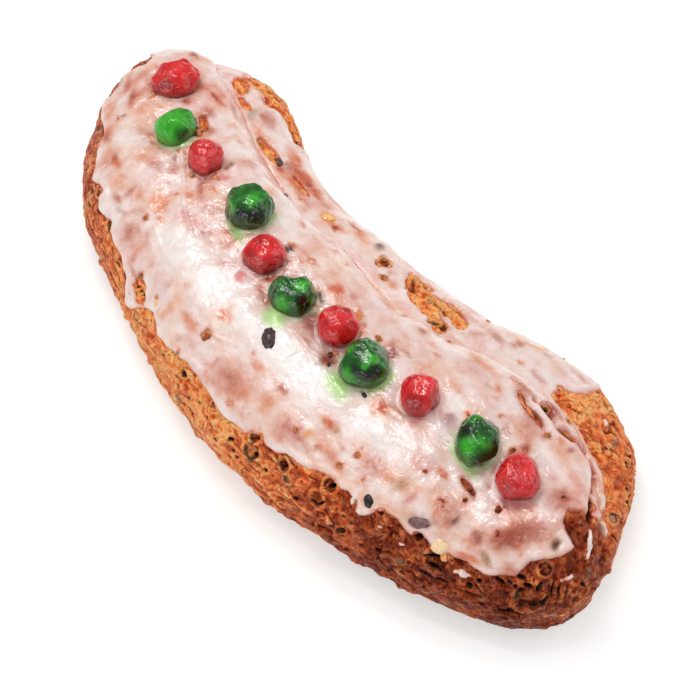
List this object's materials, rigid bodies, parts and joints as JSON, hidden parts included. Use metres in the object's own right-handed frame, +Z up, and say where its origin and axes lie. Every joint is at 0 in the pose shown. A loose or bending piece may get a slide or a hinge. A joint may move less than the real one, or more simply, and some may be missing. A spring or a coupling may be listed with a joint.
{
  "type": "stollen",
  "caption": "Festive stollen: a long, gently curved loaf folded over itself, with a white sugar glaze and a row of red and green candied cherries pressed into its crest.",
  "frame": {"origin": "under the middle of the object's box, on the surface the loaf lies on", "axes": "+X along the loaf; -Y towards its curved-out front side; +Y towards the open side of the fold; +Z up"},
  "size_m": [0.3214, 0.1454, 0.0645],
  "materials": {
    "crust": "baked fruit-bread crust, orange brown to dark brown, porous",
    "red_cherry": "glossy translucent candied fruit",
    "green_cherry": "glossy translucent candied fruit",
    "glaze": "set sugar glaze, white where thick, translucent where thin",
    "raisin": "dark wrinkled dried fruit",
    "peel": "candied citrus peel"
  },
  "bodies": {
    "root": {"loaf": "crust", "cherry_red_1": "red_cherry", "cherry_red_2": "red_cherry", "cherry_red_3": "red_cherry", "cherry_red_4": "red_cherry", "cherry_red_5": "red_cherry", "cherry_red_6": "red_cherry", "cherry_green_1": "green_cherry", "cherry_green_2": "green_cherry", "cherry_green_3": "green_cherry", "cherry_green_4": "green_cherry", "cherry_green_5": "green_cherry"}
  },
  "joints": []
}
